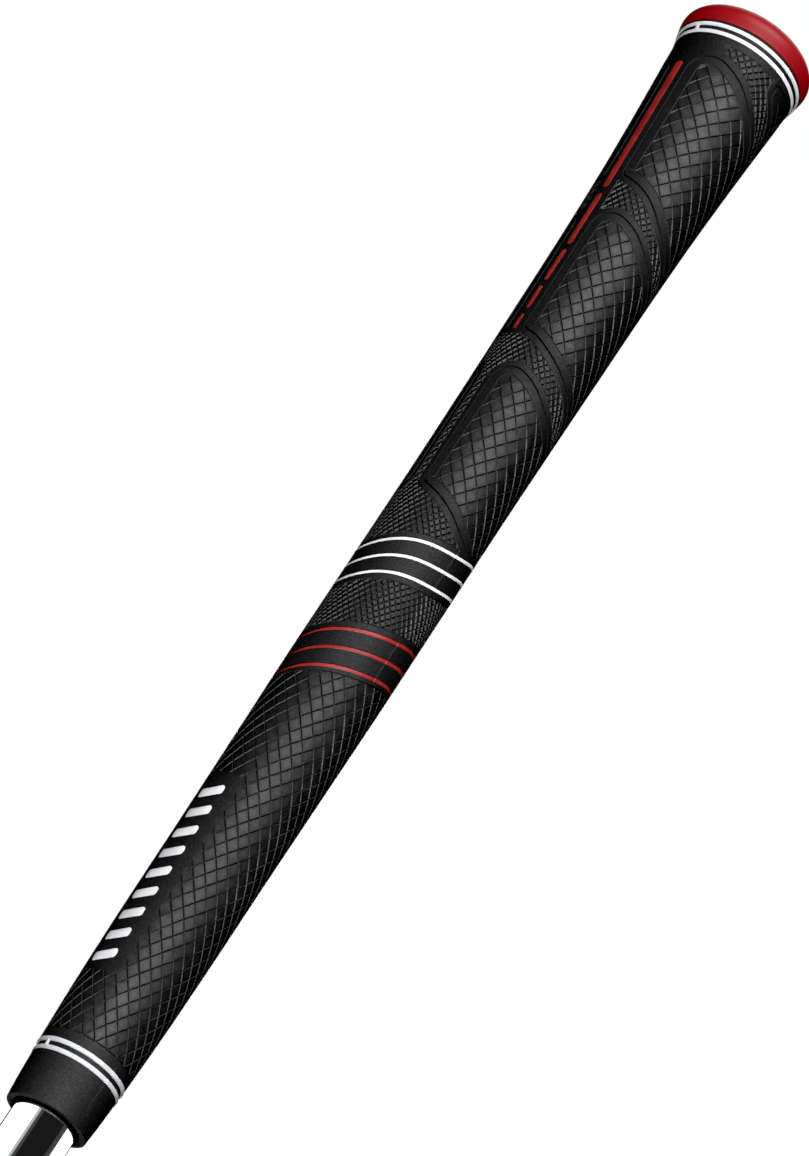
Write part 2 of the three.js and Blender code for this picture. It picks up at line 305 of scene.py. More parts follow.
def pad(upper, lower, corners):
    """A leaf pad between two edges of (angle, height) stations, with upright sides.
    corners: radii at the lower start, lower end, upper end and upper start."""
    return np.array([
        *pad_edge(smooth_path(lower), corners[:2], below=False),
        *pad_edge(smooth_path(upper)[::-1], corners[2:], below=True)])


def mirrored(loop):
    flipped = loop.copy()
    flipped[:, 0] = 2 * PLANE_X - flipped[:, 0]
    return flipped[::-1]


PAD_START, PAD_END = -42.7, 113.7  # degrees
SHORT_PAD_START = 40.4
LEAF_CORNERS = (1.5, 2.5, 2.5, 4.0)

# Pads from high to low. Stations: angle in degrees, height
HIGH_PAD = pad(
    upper=[(PAD_START, 257.0995), (-20, 255.8479), (-6, 254.7006), (8.3, 253.2404),
           (22.6, 251.1544), (37, 248.7555), (51, 246.4609), (68.5, 243.6448),
           (90, 240.3072), (PAD_END, 236.761)],
    lower=[(PAD_START, 223.8278), (-20, 222.3676), (-6, 221.116), (8.3, 219.1343),
           (22.6, 216.944), (37, 215.0666), (51, 213.3978), (68.5, 211.2075),
           (90, 208.6), (PAD_END, 205.7839)],
    corners=LEAF_CORNERS)
MIDDLE_PAD = pad(
    upper=[(PAD_START, 215.5881), (-23, 214.7537), (-6, 213.815), (8.3, 212.51125),
           (22.6, 210.686), (37, 208.8086), (51, 206.9312), (68.5, 204.6366),
           (90, 201.8205), (PAD_END, 198.9001)],
    lower=[(PAD_START, 183.7766), (-20, 182.3164), (-6, 180.9605), (8.3, 179.6046),
           (22.6, 178.2487), (37, 176.7885), (51, 175.224), (71, 172.6165),
           (90, 170.3219), (PAD_END, 167.4015)],
    corners=LEAF_CORNERS)
LOW_PAD = pad(
    upper=[(PAD_START, 175.6412), (-21.8, 174.7025), (-6, 173.7638), (8.3, 172.5122),
           (22.6, 170.79125), (37, 169.22675), (51, 167.6101), (68.5, 165.5241),
           (90, 162.708), (PAD_END, 159.579)],
    lower=[(PAD_START, 144.4555), (-27.5, 143.4125), (-11.7, 142.1609), (2.6, 140.805),
           (16.9, 139.2405), (31.2, 137.8846), (41, 137.0502), (60, 135.3814),
           (90, 132.6696), (PAD_END, 130.375)],
    corners=LEAF_CORNERS)
SHORT_PAD = pad(  # above the high pad
    upper=[(SHORT_PAD_START, 259.2898), (PAD_END, 259.2898)],
    lower=[(SHORT_PAD_START, 256.578), (51, 254.9092), (68.5, 252.1974),
           (90, 248.8598), (PAD_END, 245.3136)],
    corners=(0.4, 2.5, 1.4, 0.4))

PADS = [HIGH_PAD, MIDDLE_PAD, LOW_PAD, SHORT_PAD]
PADS += [mirrored(loop) for loop in PADS]


def panel_outline():
    x0, x1 = float(layout_x(PLANE - PANEL_HALF)), float(layout_x(PLANE + PANEL_HALF))
    corners = [(x0, PANEL_LOW), (x1, PANEL_LOW), (x1, PANEL_HIGH), (x0, PANEL_HIGH)]
    return rounded(corners, [PANEL_CORNER] * 4)


def bar_outline(low, high, low_width, high_width):
    # widths are true at the surface
    low_half = low_width * (LAYOUT_R / float(outer_radius(low))) / 2
    high_half = high_width * (LAYOUT_R / float(outer_radius(high))) / 2
    return rounded(
        [(PLANE_X - low_half, low), (PLANE_X + low_half, low),
         (PLANE_X + high_half, high), (PLANE_X - high_half, high)],
        [half * BAR_ROUNDING for half in (low_half, low_half, high_half, high_half)])


def mark_outline(i):
    middle = MARK_FROM + MARK_TALL / 2 + (MARK_TO - MARK_FROM - MARK_TALL) * i / (MARKS - 1)
    x0, x1 = float(layout_x(PLANE - MARK_WIDE / 2)), float(layout_x(PLANE + MARK_WIDE / 2))
    half, lift = MARK_TALL / 2, MARK_SLANT / 2
    return rounded(
        [(x0, middle - half - lift), (x1, middle - half + lift),
         (x1, middle + half + lift), (x0, middle + half - lift)],
        [MARK_CORNER] * 4)


PANEL = panel_outline()
BAR_LOOPS = [bar_outline(*bar) for bar in BARS]
MARK_LOOPS = [mark_outline(i) for i in range(MARKS)]


# ------------------------------------------------------------------ pattern fields
def loop_distance(loop, points):
    """Signed distance to a closed outline, positive inside."""
    start, end = loop, np.roll(loop, -1, axis=0)
    square = ((end - start) ** 2).sum(1)
    keep = square > 1e-12
    start, end, square = start[keep], end[keep], square[keep]
    along = end - start
    result = np.empty(len(points))
    for i in range(0, len(points), 20000):  # in batches, to save memory
        batch = points[i:i + 20000]
        x, z = batch[:, None, 0], batch[:, None, 1]
        to_point = batch[:, None, :] - start[None]
        share = np.clip((to_point * along[None]).sum(2) / square[None], 0, 1)
        foot = to_point - share[..., None] * along[None]
        distance = np.sqrt((foot**2).sum(2).min(1))
        spans = (start[None, :, 1] <= z) != (end[None, :, 1] <= z)
        with np.errstate(divide="ignore", invalid="ignore"):
            cross_x = (start[None, :, 0]
                       + (z - start[None, :, 1]) * along[None, :, 0] / along[None, :, 1])
        inside = (spans & (x < cross_x)).sum(1) % 2 == 1
        result[i:i + 20000] = np.where(inside, distance, -distance)
    return result


def near(loop, points, reach):
    """loop_distance, but only worked out close to the outline's box; -reach far away."""
    low, high = loop.min(0) - reach, loop.max(0) + reach
    close = ((points >= low) & (points <= high)).all(1)
    result = np.full(len(points), -float(reach))
    if close.any():
        result[close] = np.maximum(loop_distance(loop, points[close]), -reach)
    return result


def fields(points):
    """Signed distances in mm, positive inside, that lay out the pattern at (x, z) points."""
    z, phi = points[:, 1], angle_at(points[:, 0])
    off_plane = arc_from(phi, PLANE)
    pads = np.max([near(loop, points, 6.0) for loop in PADS], axis=0)
    ring_top = WHITE_RINGS[0](phi)
    panel = near(PANEL, points, 6.0)
    pad_hatch = np.minimum(pads - HATCH_INSET, z - (ring_top + COARSE_OVER_WHITE))
    low_hatch = np.minimum.reduce(
        [RED_RINGS[-1](phi) - COARSE_UNDER_RED - z, z - COARSE_FROM, -panel])
    beside_bars = np.maximum(off_plane - BAR_STRIP, BAR_STRIP_FROM - z)
    beside_crown = np.maximum(off_plane - CROWN_STRIP, CROWN_FROM - z)
    fine_high = np.minimum.reduce([
        z - (ring_top + FINE_OVER_WHITE), FINE_TO - z, -pads - PAD_CLEAR,
        beside_bars, beside_crown])
    fine_middle = np.minimum(
        WHITE_RINGS[-1](phi) - FINE_TO_RINGS - z, z - (RED_RINGS[0](phi) + FINE_TO_RINGS))
    return {
        "pads": pads, "coarse": np.maximum(pad_hatch, low_hatch),
        "fine": np.maximum(fine_high, fine_middle),
        "ring_top": ring_top, "panel": panel, "phi": phi}


def vee(distance, half):
    """1 in the middle of a line, falling straight to 0 at its half width."""
    return np.clip(1 - np.abs(distance) / half, 0, 1)


def hatch_coordinate(points, family):
    """A whole number on each coarse line of the family."""
    sign = 1 if family == 0 else -1
    turn = sign * HATCH_ROUND * angle_at(points[:, 0]) / 360
    return HATCH_PER_MM * points[:, 1] + turn - HATCH_PHASE[family]


def hatch_gap(points, family, times):
    """Distance in mm to the family's nearest line."""
    coordinate = hatch_coordinate(points, family) * times
    return np.abs(coordinate - np.round(coordinate)) / (LINES_PER_MM * times)


def pocket_depth(points, phi):
    """Depth of the channels and pockets that hold the coloured fills, 0 outside them."""
    z = points[:, 1]
    depth = np.zeros(len(points))

    def sink(inside):
        wall = np.clip(inside / POCKET_WALL, 0, 1)
        np.maximum(depth, POCKET_DEPTH * wall, out=depth)

    for low, high in TOP_RINGS + BOTTOM_RINGS:
        sink(np.minimum(z - low, high - z))
    for rings, half in ((WHITE_RINGS, WHITE_HALF), (RED_RINGS, RED_HALF)):
        for ring in rings:
            sink(half - np.abs(z - ring(phi)))
    for loop in BAR_LOOPS + MARK_LOOPS:
        sink(near(loop, points, 0.5))
    for low, high, width, _ in BANDS:
        scale = float(outer_radius((low + high) / 2)) / LAYOUT_R
        inside = width / 2 - arc_from(phi, BRIDGE) * scale
        sink(np.where((z >= low - 0.1) & (z <= high + 0.1), inside, -1))
    return depth


def relief(points, field):
    """Height of the sleeve's surface over its plain outside radius."""
    z, phi, pads = points[:, 1], field["phi"], field["pads"]
    height = np.zeros(len(points))
    for region, times, half, deep in HATCHES:
        inside = np.clip(field[region] / HATCH_RAMP, 0, 1)
        groove = np.maximum(*(vee(hatch_gap(points, family, times), half) for family in (0, 1)))
        height = np.minimum(height, -deep * groove * inside)
    # thin border grooves round the hatched regions, but not along the smooth panel
    off_panel = field["panel"] < -0.5
    height = np.minimum(height, -COARSE_BORDER * vee(field["coarse"], HATCH_RAMP) * off_panel)
    height = np.minimum(height, -FINE_BORDER * vee(field["fine"], HATCH_RAMP))
    # outline groove of each pad and its raised edges, which stop short of the slanted rings
    live = np.clip((z - (field["ring_top"] + 1.2)) / 0.3, 0, 1)
    height = np.minimum(height, -OUTLINE_DEPTH * vee(pads, OUTLINE_HALF) * live)
    edge = vee(np.abs(pads) - OUTLINE_HALF - EDGE_HALF, EDGE_HALF) * live
    height = height + np.where(height > -0.03, EDGE_RISE * edge, 0)
    for low, high, _, drop in BANDS:
        inside = np.minimum(z - low, high - z)
        height = np.minimum(height, -drop * np.clip(inside / 0.03 + 1, 0, 1))
    height = np.minimum(height, -pocket_depth(points, phi))
    # parting lines, only on the plain surface and faded out at both ends
    ends = np.clip((SLEEVE_TOP - 0.25 - z) / 0.5, 0, 1) * np.clip((z - LIP) / 0.6, 0, 1)
    plain = (field["coarse"] < -0.3) & (field["fine"] < -0.3) & (np.abs(pads) > 0.45)
    for seam in SEAMS:
        ridge = SEAM_RISE * vee(arc_from(phi, seam), SEAM_HALF) * ends
        height = height + np.where((height > -0.02) & plain, ridge, 0)
    return height


# ------------------------------------------------------------------ contours and line pieces
def contour(values, level, xs, zs):
    """Marching squares: the level line of a grid as (points, edges)."""
    values = values - level
    values = np.where(np.abs(values) < 1e-9, 1e-9, values)
    points, numbers = [], {}

    def crossing(upright, j, i):
        side = (upright, j, i)
        if side not in numbers:
            j2, i2 = (j + 1, i) if upright else (j, i + 1)
            share = values[j, i] / (values[j, i] - values[j2, i2])
            numbers[side] = len(points)
            points.append((xs[i] + share * (xs[i2] - xs[i]), zs[j] + share * (zs[j2] - zs[j])))
        return numbers[side]

    above = values > 0
    count = above[:-1, :-1] * 1 + above[:-1, 1:] + above[1:, 1:] + above[1:, :-1]
    edges = []
    for j, i in zip(*np.nonzero((count > 0) & (count < 4))):
        sides = (
            (above[j, i] != above[j, i + 1], (False, j, i)),
            (above[j, i + 1] != above[j + 1, i + 1], (True, j, i + 1)),
            (above[j + 1, i] != above[j + 1, i + 1], (False, j + 1, i)),
            (above[j, i] != above[j + 1, i], (True, j, i)))
        cuts = [crossing(*side) for crossed, side in sides if crossed]
        if len(cuts) == 2:
            edges.append((cuts[0], cuts[1]))
        elif (values[j:j + 2, i:i + 2].mean() > 0) == above[j, i]:
            edges += [(cuts[0], cuts[1]), (cuts[2], cuts[3])]
        else:
            edges += [(cuts[0], cuts[3]), (cuts[1], cuts[2])]
    return points, edges


class Plan:
    """Layout points and edges handed to the triangulation."""

    def __init__(self):
        self.points, self.edges = [], []

    def add(self, points, edges):
        first = len(self.points)
        self.points.extend((float(x), float(z)) for x, z in points)
        self.edges.extend((first + start, first + end) for start, end in edges)

    def line(self, points, closed=False):
        count = len(points)
        self.add(points, [(i, (i + 1) % count) for i in range(count if closed else count - 1)])

    def level(self, z, count):
        """A level line right across the layout."""
        self.line(np.c_[np.linspace(0, ROUND, count), np.full(count, z)])

    def triangulate(self):
        vectors = [Vector(point) for point in self.points]
        result = delaunay_2d_cdt(vectors, self.edges, [], 0, 1e-5, False)
        points = np.array([tuple(vector) for vector in result[0]])
        return points, np.array([face for face in result[2] if len(face) == 3])


def compact(triangles):
    """Drops collapsed triangles. Gives the points still used and the renumbered triangles."""
    first, second, third = triangles.T
    triangles = triangles[(first != second) & (second != third) & (first != third)]
    used, inverse = np.unique(triangles, return_inverse=True)
    return used, inverse.reshape(-1, 3)


def grid_sampler(values, xs, zs):
    """Bilinear lookup in a grid."""
    step_x, step_z = xs[1] - xs[0], zs[1] - zs[0]

    def at(points):
        x = np.clip((points[:, 0] - xs[0]) / step_x, 0, len(xs) - 1.000001)
        z = np.clip((points[:, 1] - zs[0]) / step_z, 0, len(zs) - 1.000001)
        i, j = x.astype(int), z.astype(int)
        x, z = x - i, z - j
        return (
            values[j, i] * (1 - x) * (1 - z) + values[j, i + 1] * x * (1 - z)
            + values[j + 1, i] * (1 - x) * z + values[j + 1, i + 1] * x * z
        )

    return at


def inside_pieces(start, end, sampler, step=0.2):
    """The stretches of a straight line where the sampler is positive."""
    along = end - start
    length = np.linalg.norm(along)
    shares = np.linspace(0, 1, max(2, int(length / step) + 1))
    values = sampler(start + shares[:, None] * along)
    above = values > 0
    stretches, opened = [], 0.0 if above[0] else None
    for i in np.nonzero(above[1:] != above[:-1])[0]:
        part = values[i] / (values[i] - values[i + 1])
        share = shares[i] + (shares[i + 1] - shares[i]) * part
        if above[i + 1]:
            opened = share
        else:
            stretches.append((opened, share))
            opened = None
    if opened is not None:
        stretches.append((opened, 1.0))
    return [(start + low * along, start + high * along)
            for low, high in stretches if (high - low) * length > 0.05]


def mesh_from(name, points, faces, smooth_angle):
    mesh = bpy.data.meshes.new(name)
    mesh.from_pydata(
        [tuple(map(float, point)) for point in points], [],
        [tuple(map(int, face)) for face in faces])
    mesh.validate()
    mesh.update()
    mesh.shade_smooth()
    mesh.set_sharp_from_angle(angle=math.radians(smooth_angle))
    obj = bpy.data.objects.new(name, mesh)
    bpy.context.scene.collection.objects.link(obj)
    return obj


# ------------------------------------------------------------------ sleeve
def bore(z):
    return float(shaft_radius(z)) + BORE_CLEARANCE


# The sleeve's inside, from the mouth's outer edge inwards and up to its top edge.
# Layout height, radius, height. Layout heights below the lip only order the rows.
POCKET_FLOOR, POCKET_R = 259.3, 9.3  # recess in the top end that takes the cap's plug
INSIDE = np.array([
    (LIP, OUTSIDE[0, 1], LIP), (0.28, 8.29, 0.20), (0.12, 8.26, 0.08),
    (-0.05, 8.19, 0.015), (-0.2, 8.08, 0.0), (-0.75, 7.15, 0.0),
    (-0.9, 6.98, 0.04), (-1.05, 6.85, 0.15), (-1.25, 6.78, 0.35),
    (-2.0, bore(6), 6), (-3.0, bore(15), 15), (-4.5, bore(100), 100), (-6.0, bore(190), 190),
    (-7.0, bore(259), 259.0), (-7.5, bore(259), POCKET_FLOOR), (-8.5, POCKET_R, POCKET_FLOOR),
    (-9.5, POCKET_R, SLEEVE_TOP), (-11.0, 12.0, SLEEVE_TOP),
    (-12.0, float(outer_radius(SLEEVE_TOP)), SLEEVE_TOP),
])
LAYOUT_LOW = INSIDE[-1, 0]


def sleeve_points(points, height):
    """Layout points with their relief, as frame positions in metres."""
    x, row = points.T
    order, radii, heights = INSIDE[::-1].T
    outside = row >= LIP
    radius = np.where(outside, outer_radius(row) + height, np.interp(row, order, radii))
    return frame_points(x, radius, np.where(outside, row, np.interp(row, order, heights)))


def plan_regions(plan):
    """Contours of the pads and the hatch, and the hatch lines inside them."""
    xs = np.linspace(0, ROUND, 181)
    zs = np.arange(11.0, SLEEVE_TOP + 0.4, 0.38)
    grid_x, grid_z = np.meshgrid(xs, zs)
    field = fields(np.c_[grid_x.ravel(), grid_z.ravel()])
    region = {name: field[name].reshape(grid_x.shape) for name in ("coarse", "fine", "pads")}
    for values in region.values():
        values[:, -1] = values[:, 0]
    # outline grooves stop short of the slanted rings
    ring_top = field["ring_top"].reshape(grid_x.shape)
    live_pads = np.where(grid_z > ring_top + 0.9, region["pads"], -3.0)
    outline = [OUTLINE_HALF + k * EDGE_HALF for k in range(3)]
    for level in [-offset for offset in outline] + [0.0] + outline:
        plan.add(*contour(live_pads, level, xs, zs))
    for level in (-HATCH_RAMP, 0.0, HATCH_RAMP):
        plan.add(*contour(region["coarse"], level, xs, zs))
        plan.add(*contour(region["fine"], level, xs, zs))
    for name, times, half, _ in HATCHES:
        sampler = grid_sampler(region[name], xs, zs)
        for family in (0, 1):
            plan_hatch_lines(plan, sampler, family, times, half)


def plan_hatch_lines(plan, sampler, family, times, half):
    """The middle and both edges of every groove of a family."""
    low, high = 11.2, SLEEVE_TOP - 0.2
    base = hatch_coordinate(np.array([(0.0, 0.0), (ROUND, 0.0)]), family)
    reach = [HATCH_PER_MM * z + start for z in (10, SLEEVE_TOP) for start in base]
    first, last = math.floor(min(reach) * times) - 1, math.ceil(max(reach) * times) + 2
    for number in range(first, last):
        for side in (-1, 0, 1):
            coordinate = number / times + side * half * LINES_PER_MM
            z0, z1 = (coordinate - base) / HATCH_PER_MM
            start, end = np.array([0.0, z0]), np.array([ROUND, z1])
            # clip to the height range before sampling
            enter, leave = sorted(((low - z0) / (z1 - z0), (high - z0) / (z1 - z0)))
            enter, leave = max(0.0, enter), min(1.0, leave)
            if leave - enter < 1e-4:
                continue
            along = end - start
            for piece in inside_pieces(start + enter * along, start + leave * along, sampler):
                plan.line(piece)


def plan_channels(plan):
    """Edges of the ring channels and their bridges, and the rows of the lip and inside."""
    phis = np.linspace(CUT, CUT + 360, 145)
    xs = layout_x(phis)
    for rings, half in ((WHITE_RINGS, WHITE_HALF), (RED_RINGS, RED_HALF)):
        for ring in rings:
            for offset in (-half, -half + POCKET_WALL, half - POCKET_WALL, half):
                plan.line(np.c_[xs, ring(phis) + offset])
    levels = [z for low, high in TOP_RINGS + BOTTOM_RINGS
              for z in (low, low + POCKET_WALL, high - POCKET_WALL, high)]
    levels += [z for low, high, _, _ in BANDS for z in (low + 0.03, high - 0.03)]
    for z in levels:
        plan.line(np.c_[xs, np.full(len(xs), z)])
    for low, high, width, _ in BANDS:
        half = width / 2 / float(outer_radius((low + high) / 2)) * LAYOUT_R
        left, right = BRIDGE_X - half, BRIDGE_X + half
        for x in (left, left + POCKET_WALL, right - POCKET_WALL, right):
            plan.line([(x, low), (x, high)])
    for row in INSIDE[:-1, 0]:
        plan.level(row, 97 if row > -1.3 else 49)


def plan_pockets_and_seams(plan):
    for loop in BAR_LOOPS + MARK_LOOPS:
        plan.line(loop, closed=True)
        plan.line(inset_loop(loop, POCKET_WALL), closed=True)
    for seam_x in SEAM_XS:
        for offset in (-SEAM_HALF, 0, SEAM_HALF):
            plan.line([(seam_x + offset, LIP), (seam_x + offset, SLEEVE_TOP - 0.25)])


def plan_frame(plan):
    """Outer frame of the layout, with the same points on both sides."""
    side = np.r_[INSIDE[:, 0], np.arange(1.5, SLEEVE_TOP - 0.3, 1.0), SLEEVE_TOP]
    side = np.unique(np.round(side, 6))
    for x in (0.0, ROUND):
        plan.line(np.c_[np.full(len(side), x), side])
    for z in (LAYOUT_LOW, SLEEVE_TOP):
        plan.level(z, 97)


def free_points():
    """Staggered points that carry the curvature, kept clear of the planned lines."""
    across, rise = 60, 1.5
    rows = []
    for row, z in enumerate(np.arange(1.6, SLEEVE_TOP - 0.9, rise)):
        x = (np.arange(across) + 0.5 * (row % 2)) * (ROUND / across)
        x = x[(x > 0.4) & (x < ROUND - 0.4)]
        rows.append(np.c_[x, np.full(len(x), z)])
    points = np.concatenate(rows)
    x, z = points.T
    field = fields(points)
    keep = np.abs(field["pads"]) > 0.5
    for region, times, half, _ in HATCHES:
        for family in (0, 1):
            on_line = hatch_gap(points, family, times) < half + 0.25
            keep &= ~((field[region] > -0.3) & on_line)
        keep &= np.abs(field[region]) > 0.45
    for ring in WHITE_RINGS + RED_RINGS:
        keep &= np.abs(np.abs(z - ring(field["phi"])) - 0.5) > 0.35
    for low, high in TOP_RINGS + BOTTOM_RINGS:
        keep &= ~((z > low - 0.35) & (z < high + 0.35))
    for loop in BAR_LOOPS + MARK_LOOPS:
        keep &= np.abs(near(loop, points, 2.0)) > 0.25
    for seam_x in SEAM_XS:
        keep &= np.abs(x - seam_x) > 0.3
    return points[keep]


def join_layout_edges(points, placed):
    """Matches the points that meet where the two sides and the two ends of the layout join."""
    tolerance = 0.004 * MM
    cells = np.round(placed / tolerance).astype(np.int64)
    x, z = points.T
    on_edge = (x < 1e-4) | (x > ROUND - 1e-4) | (z < LAYOUT_LOW + 1e-4) | (z > SLEEVE_TOP - 1e-4)
    seen, remap = {}, np.arange(len(points))
    for i in np.nonzero(on_edge)[0]:
        twins = (seen.get(tuple(cells[i] + step)) for step in product((0, -1, 1), repeat=3))
        twin = next((j for j in twins if j is not None
                     and np.abs(placed[j] - placed[i]).max() < tolerance), None)
        if twin is None:
            seen[tuple(cells[i])] = i
        else:
            remap[i] = twin
    return remap


def merge_close(placed, remap):
    """Points that almost coincide become one, so no sliver faces are left."""
    tree = KDTree(len(placed))
    for i, place in enumerate(placed):
        tree.insert(place, i)
    tree.balance()
    group = np.arange(len(placed))
    for i, place in enumerate(placed):
        for _, j, _ in tree.find_range(place, 0.003 * MM):
            if j < i and remap[j] != remap[i]:
                kept, dropped = sorted((group[remap[i]], group[remap[j]]))
                group[group == dropped] = kept
    return group[remap]


def build_sleeve():
    plan = Plan()
    plan_regions(plan)
    plan_channels(plan)
    plan_pockets_and_seams(plan)
    plan_frame(plan)
    plan.add(free_points(), [])
    points, triangles = plan.triangulate()
    row = points[:, 1]
    field = fields(points)
    height = np.where(row >= LIP, relief(points, field), 0.0)
    height[np.abs(row - SLEEVE_TOP) < 1e-4] = 0.0
    placed = sleeve_points(points, height)
    remap = merge_close(placed, join_layout_edges(points, placed))
    used, triangles = compact(remap[triangles])
    obj = mesh_from("sleeve_skin", placed[used], triangles, smooth_angle=28)
    # For the finish: 1 inside the hatch, 0 outside it, -1 on the mouth's end face and inside,
    # where the rubber is made matte and given a paler base, a painted light tone
    zone = np.clip(0.5 + np.maximum(field["coarse"], field["fine"])[used] / 0.5, 0, 1)
    zone = np.where(row[used] < -0.3, -1.0, zone)
    attribute = obj.data.attributes.new("hatched", "FLOAT", "POINT")
    attribute.data.foreach_set("value", zone.astype(np.float32))
    return obj


# ------------------------------------------------------------------ coloured fills
# top: height of a fill's middle over the outside radius; crown: how far its edge drops;
# edge: width of the rounding
Profile = namedtuple("Profile", "top crown edge")


def weld_sides(points, triangles):
    """Joins the two sides of a layout that runs all the way round."""
    remap = np.arange(len(points))
    starts = {round(float(points[i, 1]), 3): i for i in np.nonzero(points[:, 0] < 1e-4)[0]}
    for i in np.nonzero(points[:, 0] > ROUND - 1e-4)[0]:
        z = round(float(points[i, 1]), 3)
        for candidate in (z, round(z - 0.001, 3), round(z + 0.001, 3)):
            if candidate in starts:
                remap[i] = starts[candidate]
                break
    return remap[triangles]


def drawn_in(points, rim, inside):
    """Points with the rim moved in a little, to clear the pocket's sloping walls."""
    gradient = np.zeros_like(points)
    for k in (0, 1):
        step = np.zeros(2)
        step[k] = 0.02
        gradient[rim, k] = (inside(points[rim] + step) - inside(points[rim] - step)) / 0.04
    length = np.maximum(np.linalg.norm(gradient, axis=1, keepdims=True), 1e-9)
    moved = points + np.where(length > 1e-6, gradient / length, 0) * 0.03
    at_cut = points[:, 0] < 1e-4
    moved[at_cut, 0] = points[at_cut, 0]
    return moved


def fill_solid(name, plan, inside, profile, tick=0.0):
    """A closed fill: rounded top edges, straight sides, flat back, bent round the grip.
    inside: signed distance to its outline; tick: height of the parting line over it."""
    low, high = np.min(plan.points, axis=0), np.max(plan.points, axis=0)
    grid_x, grid_z = np.meshgrid(
        np.arange(low[0] + 0.3, high[0] - 0.1, 0.62), np.arange(low[1] + 0.2, high[1] - 0.1, 0.55))
    free = np.c_[grid_x.ravel(), grid_z.ravel()]
    plan.add(free[inside(free) > profile.edge + 0.12], [])
    points, triangles = plan.triangulate()
    triangles = triangles[inside(points[triangles].mean(1)) > 0]
    used, triangles = compact(weld_sides(points, triangles))
    points = points[used]
    share = np.clip(np.maximum(inside(points), 0) / profile.edge, 0, 1)
    rounding = 1 - np.sqrt(np.maximum(0, 1 - (1 - share) ** 2))
    height = profile.top - profile.crown * rounding
    for seam_x in SEAM_XS:
        height += tick * vee(points[:, 0] - seam_x, TICK_HALF)
    edges = dict.fromkeys(
        edge for a, b, c in triangles for edge in ((a, b), (b, c), (c, a)))
    rim = [(start, end) for start, end in edges if (end, start) not in edges]
    back = drawn_in(points, sorted({corner for edge in rim for corner in edge}), inside)

    def place(flat, lift):
        return frame_points(flat[:, 0], outer_radius(flat[:, 1]) + lift, flat[:, 1])

    count = len(points)
    faces = [tuple(face) for face in triangles]
    faces += [(c + count, b + count, a + count) for a, b, c in triangles]
    faces += [(end, start, start + count, end + count) for start, end in rim]
    return mesh_from(name, np.r_[place(points, height), place(back, -FILL_BACK)], faces,
                     smooth_angle=40)


def rows_across(low, high, edge, middle=True):
    """Rows across a strip, closer together at its rounded edges."""
    insets = (*FILL_STEPS, edge)
    rows = [low + inset for inset in insets]
    if middle:
        rows.append((low + high) / 2)
    return rows + [high - inset for inset in insets[::-1]]


def loop_fill(name, loop, profile):
    outer = inset_loop(loop, FILL_GAP)
    plan = Plan()
    for inset in (*FILL_STEPS, profile.edge):
        plan.line(inset_loop(outer, inset), closed=True)
    return fill_solid(name, plan, lambda points: loop_distance(outer, points), profile)


def tick_lines():
    return [seam_x + offset for seam_x in SEAM_XS for offset in (-TICK_HALF, 0, TICK_HALF)]


def slanted_fill(name, ring, channel_half, profile):
    half = channel_half - FILL_GAP
    phis = np.linspace(CUT, CUT + 360, 181)
    plan = Plan()
    for offset in rows_across(-half, half, profile.edge):
        plan.line(np.c_[layout_x(phis), ring(phis) + offset])
    uprights = [(0.0, CUT), (ROUND, CUT + 360)] + [(x, angle_at(x)) for x in tick_lines()]
    for x, phi in uprights:
        z = float(ring(phi))
        plan.line([(x, z - half), (x, z + half)])

    def inside(points):
        return half - np.abs(points[:, 1] - ring(angle_at(points[:, 0])))

    return fill_solid(name, plan, inside, profile, tick=0.14)


def double_fill(name, rings, bridge_width, profile):
    """Two level rings and the bridge between them."""
    rings = [(low + FILL_GAP, high - FILL_GAP) for low, high in rings]
    (bottom, lower_top), (upper_bottom, top) = rings
    bridge_radius = float(outer_radius((lower_top + upper_bottom) / 2))
    half = (bridge_width / 2 - FILL_GAP) / bridge_radius * LAYOUT_R
    plan = Plan()
    for low, high in rings:
        for z in rows_across(low, high, profile.edge):
            plan.level(z, 181)
    for offset in rows_across(-half, half, profile.edge, middle=False):
        x = BRIDGE_X + offset
        plan.line([(x, (bottom + lower_top) / 2), (x, (upper_bottom + top) / 2)])
    for x in (0.0, ROUND, *tick_lines()):
        plan.line([(x, bottom), (x, top)])

    def inside(points):
        x, z = points.T
        bridge = np.minimum.reduce(
            [half - np.abs(x - BRIDGE_X), z - (bottom + 0.1), (top - 0.1) - z])
        return np.maximum.reduce([*(np.minimum(z - low, high - z) for low, high in rings), bridge])

    return fill_solid(name, plan, inside, profile, tick=0.16)


# ------------------------------------------------------------------ turned pieces
def turned(name, loop, segments=192, swell=None):
    """A closed body of revolution from a loop of (radius, height), run anticlockwise.
    swell: extra radius as a function of angle, radius and height."""
    loop = np.array(loop, float)
    count = len(loop)
    angle = (np.arange(segments) / segments * 2 * math.pi)[:, None]
    radius = np.repeat(loop[None, :, 0], segments, 0)
    z = np.repeat(loop[None, :, 1], segments, 0)
    if swell is not None:
        radius = radius + swell(np.degrees(angle) + 90, loop[None, :, 0], z)
    points = np.c_[(radius * np.cos(angle)).ravel() * MM,
                   (radius * np.sin(angle)).ravel() * MM, MOUTH + z.ravel() * MM]
    faces = []
    for j in range(segments):
        here, there = j * count, (j + 1) % segments * count
        for i in range(count):
            i2 = (i + 1) % count
            faces.append((here + i, there + i, there + i2, here + i2))
    return mesh_from(name, points, faces, smooth_angle=35)


def arc(centre_r, centre_z, size_r, size_z, start, end, steps):
    """Elliptic arc in (radius, height), angles in degrees."""
    angles = [math.radians(start + (end - start) * i / steps) for i in range(steps + 1)]
    return [(centre_r + size_r * math.cos(a), centre_z + size_z * math.sin(a)) for a in angles]


